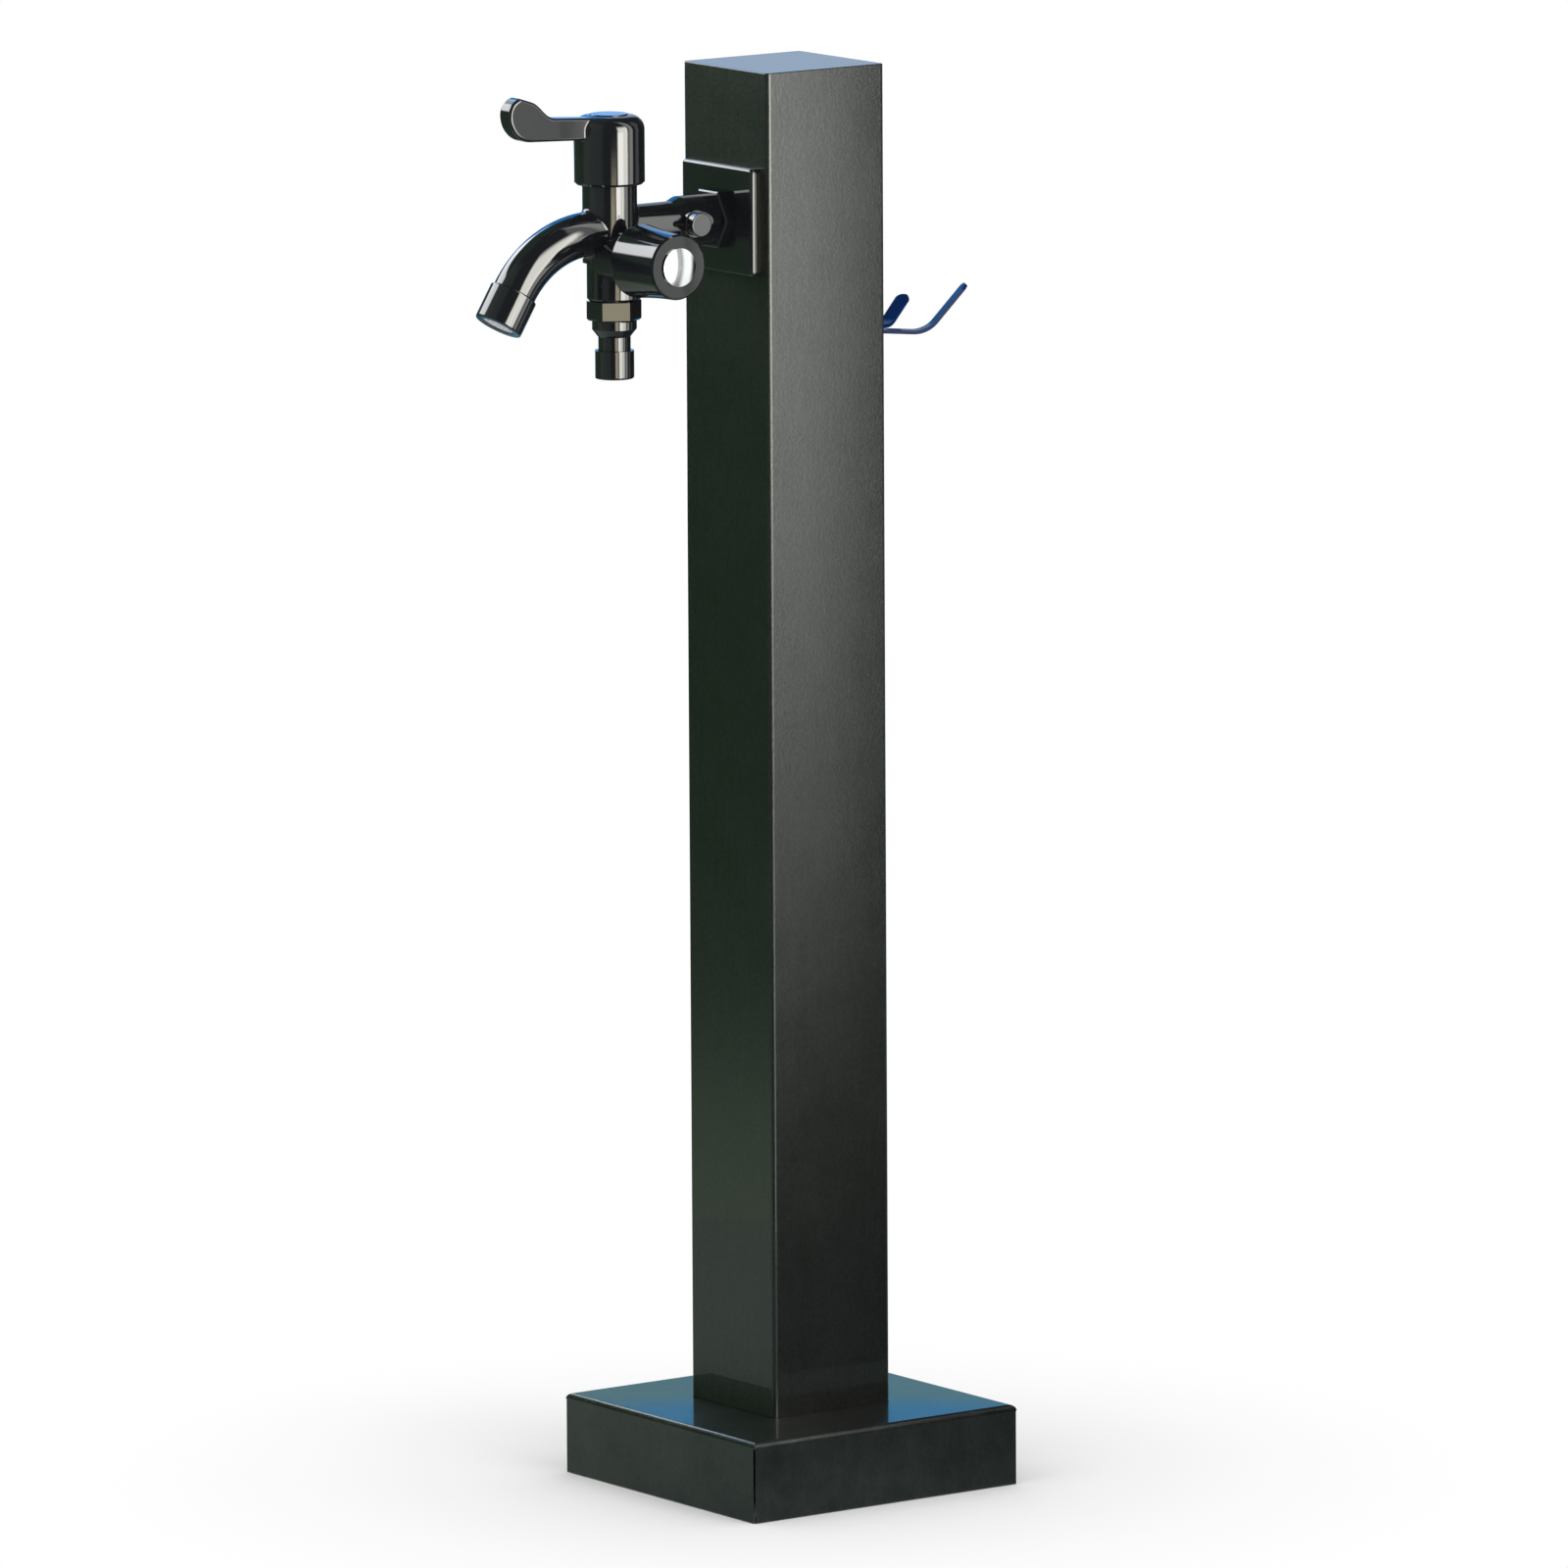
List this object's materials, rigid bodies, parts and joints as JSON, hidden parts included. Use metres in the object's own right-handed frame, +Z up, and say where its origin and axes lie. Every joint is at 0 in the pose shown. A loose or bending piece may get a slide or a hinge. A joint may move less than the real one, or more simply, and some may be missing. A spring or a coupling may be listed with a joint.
{
  "type": "garden standpipe",
  "caption": "Square column with a folded base cover, a lever-operated curved spout, a side knob for a hose nipple below the tap, and a forked hose hook behind.",
  "frame": {"origin": "on the column's axis, at the ground", "axes": "+Z up, the tap towards -Y, the hook towards +Y, the side knob towards +X"},
  "size_m": [0.136, 0.2329, 0.6],
  "materials": {
    "column_steel": "gloss black plated",
    "cover_steel": "gloss black plated sheet",
    "plain_steel": "plain zinc plated",
    "tap_black": "gloss black plated brass",
    "handle_black": "gloss black plated",
    "chrome_trim": "polished chrome",
    "brass_plain": "machined",
    "copper_pipe": "drawn pipe",
    "grey_plastic": "moulded, matte",
    "rubber": "moulded",
    "ceramic": "lapped"
  },
  "bodies": {
    "standpipe": {"column_tube": "column_steel", "top_cap": "column_steel", "base_flange": "plain_steel", "escutcheon": "column_steel", "inlet_bracket": "plain_steel", "inlet_socket": "brass_plain", "inlet_lock_nut": "brass_plain", "riser_pipe": "copper_pipe", "compression_nuts": "brass_plain", "compression_olives": "brass_plain", "wall_elbow": "brass_plain", "elbow_gasket": "rubber", "tap_body": "tap_black", "wall_nut": "tap_black", "drain_plug": "chrome_trim", "drain_plug_seal": "rubber", "spout_collar": "tap_black", "aerator_insert": "grey_plastic", "aerator_washer": "rubber", "hose_adapter": "tap_black", "adapter_washer": "rubber", "hook": "tap_black", "hook_screws": "tap_black", "hook_nuts": "plain_steel", "top_cartridge": "brass_plain", "top_fixed_disc": "ceramic", "top_seat_seal": "rubber", "side_cartridge": "brass_plain", "side_fixed_disc": "ceramic", "side_seat_seal": "rubber"},
    "top_lever": {"top_handle": "handle_black", "top_handle_screw": "plain_steel", "top_button": "handle_black", "top_spindle": "brass_plain", "top_moving_disc": "ceramic"},
    "side_knob": {"side_handle": "handle_black", "side_handle_screw": "plain_steel", "side_button": "chrome_trim", "side_spindle": "brass_plain", "side_moving_disc": "ceramic"},
    "cover": {"base_cover": "cover_steel"}
  },
  "joints": [
    {"name": "top_lever_turn", "type": "hinge", "parent": "standpipe", "child": "top_lever", "pos_m": [0, -0.089, 0.57], "axis": [0, 0, 1], "range_deg": [0, 90]},
    {"name": "side_knob_turn", "type": "hinge", "parent": "standpipe", "child": "side_knob", "pos_m": [0.03, -0.089, 0.526], "axis": [1, 0, 0], "range_deg": [0, 90]},
    {"name": "cover_lift", "type": "slide", "parent": "standpipe", "child": "cover", "axis": [0, 0, 1], "range_m": [0, 0.44]}
  ]
}
